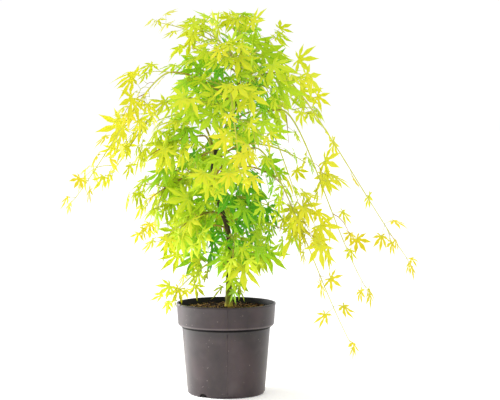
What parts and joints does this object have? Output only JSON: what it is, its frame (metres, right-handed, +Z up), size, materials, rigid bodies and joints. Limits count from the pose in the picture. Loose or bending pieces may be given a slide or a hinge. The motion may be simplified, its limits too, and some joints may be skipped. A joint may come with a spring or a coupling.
{
  "type": "potted japanese maple",
  "caption": "Young weeping japanese maple with lime and yellow leaves on arching stems, growing in a dark plastic nursery pot.",
  "frame": {"origin": "centre of the pot's flat underside", "axes": "+Z up along the pot's axis, -Y towards the front of the picture, +X to its right, where the long whips hang"},
  "size_m": [0.6751, 0.4518, 0.7403],
  "materials": {
    "pot": "matte, scuffed",
    "mix": "rough crumbs and fibres",
    "bark": "rough bark",
    "leaves": "soft satin"
  },
  "bodies": {
    "root": {"pot": "pot", "potting_mix": "mix", "trunk": "bark", "foliage_top_back": "leaves", "foliage_top_front_left": "leaves", "foliage_top_right": "leaves", "foliage_top_back_left": "leaves", "foliage_top_front": "leaves", "foliage_crown_back_right": "leaves", "foliage_crown_left": "leaves", "foliage_crown_front_right": "leaves", "foliage_crown_back": "leaves", "foliage_crown_front_left": "leaves", "bough_upper_right": "bark", "foliage_upper_right": "leaves", "bough_upper_back_left": "bark", "foliage_upper_back_left": "leaves", "bough_upper_front_right": "bark", "foliage_upper_front_right": "leaves", "bough_upper_back": "bark", "foliage_upper_back": "leaves", "bough_upper_front_left": "bark", "foliage_upper_front_left": "leaves", "bough_high_right": "bark", "foliage_high_right": "leaves", "bough_high_back_left": "bark", "foliage_high_back_left": "leaves", "bough_high_front": "bark", "foliage_high_front": "leaves", "bough_high_back_right": "bark", "foliage_high_back_right": "leaves", "bough_high_left": "bark", "foliage_high_left": "leaves", "foliage_middle_front_right": "leaves", "foliage_middle_back": "leaves", "foliage_middle_front_left": "leaves", "foliage_middle_right": "leaves", "foliage_middle_back_left": "leaves", "foliage_low_front": "leaves", "foliage_low_back_right": "leaves", "foliage_tuft_leader": "leaves", "foliage_tuft_top_left": "leaves", "bough_whip_right_outer": "bark", "foliage_whip_right_outer": "leaves", "bough_whip_right_middle": "bark", "foliage_whip_right_middle": "leaves", "bough_whip_right_inner": "bark", "foliage_whip_right_inner": "leaves", "bough_whip_left": "bark", "foliage_whip_left": "leaves", "bough_drape_left": "bark", "foliage_drape_left": "leaves", "bough_drape_front": "bark", "foliage_drape_front": "leaves", "bough_whip_back_left": "bark", "foliage_whip_back_left": "leaves", "bough_whip_back_right": "bark", "foliage_whip_back_right": "leaves", "foliage_tuft_rim_left": "leaves", "foliage_tuft_foot": "leaves"}
  },
  "joints": []
}
